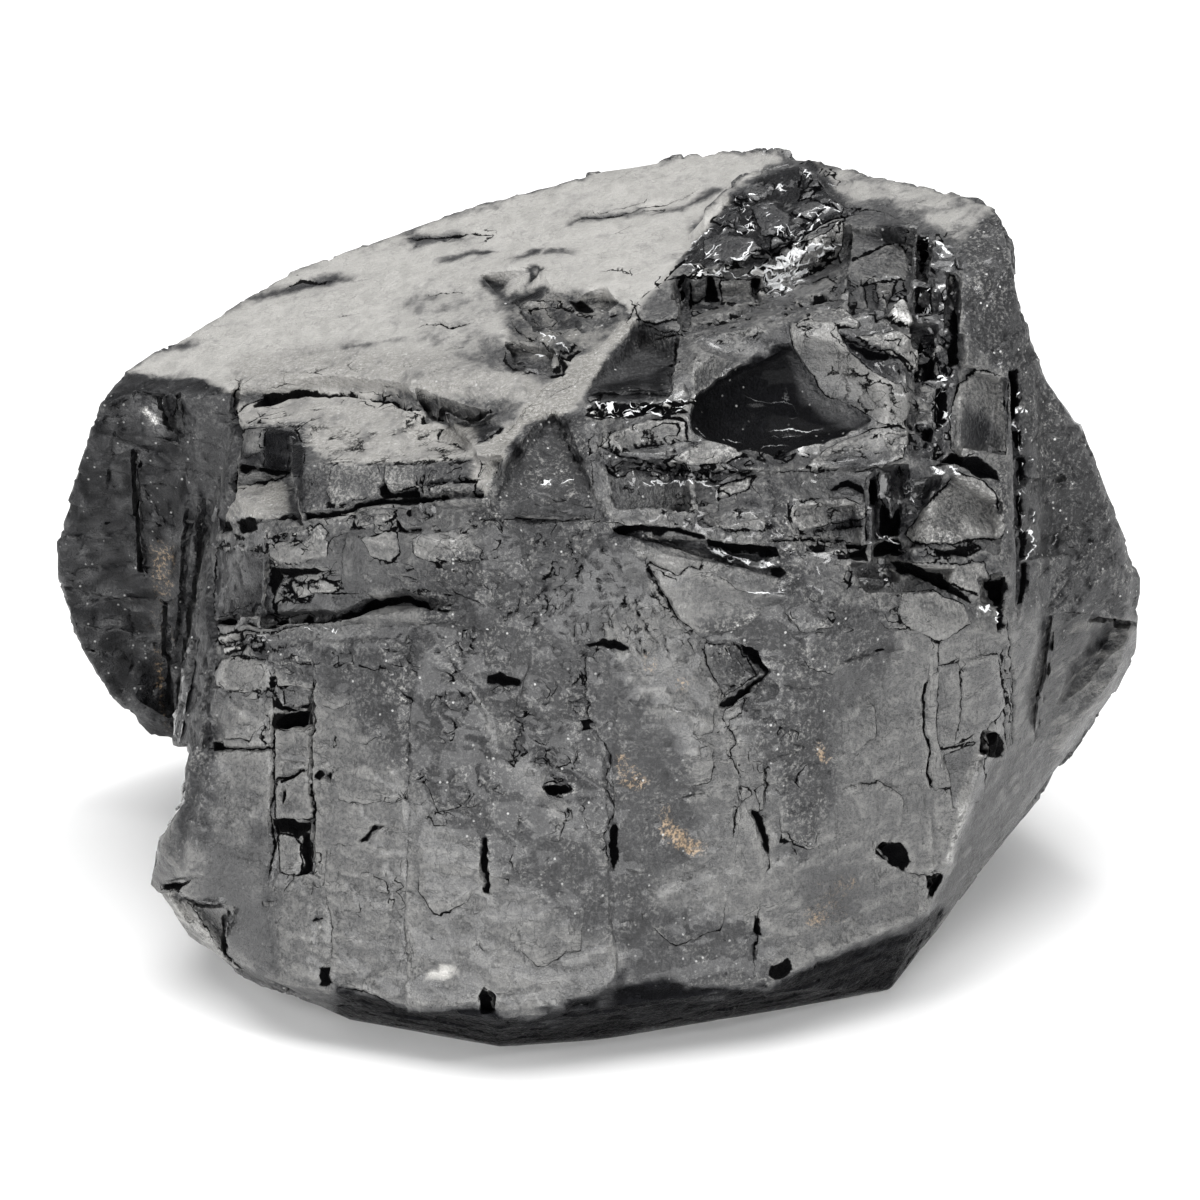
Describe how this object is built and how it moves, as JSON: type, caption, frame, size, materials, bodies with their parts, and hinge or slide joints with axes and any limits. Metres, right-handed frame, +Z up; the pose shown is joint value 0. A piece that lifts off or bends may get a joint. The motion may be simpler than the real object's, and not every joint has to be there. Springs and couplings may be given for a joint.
{
  "type": "coal lump",
  "caption": "Fist-sized lump of black house coal with a pale bedding plane on top, stepped ledges, upright cleat cracks and a shell-shaped glossy break, resting on a flat broken face.",
  "frame": {"origin": "middle of the footprint of the lump's box, on the surface that it rests on", "axes": "+Z up, +X to the right along the front, -Y out of the broad front break"},
  "size_m": [0.1094, 0.0866, 0.0692],
  "materials": {
    "coal": "broken black coal, dull in most places and glassy on fresh shell-shaped breaks"
  },
  "bodies": {
    "root": {"coal_lump": "coal"}
  },
  "joints": []
}
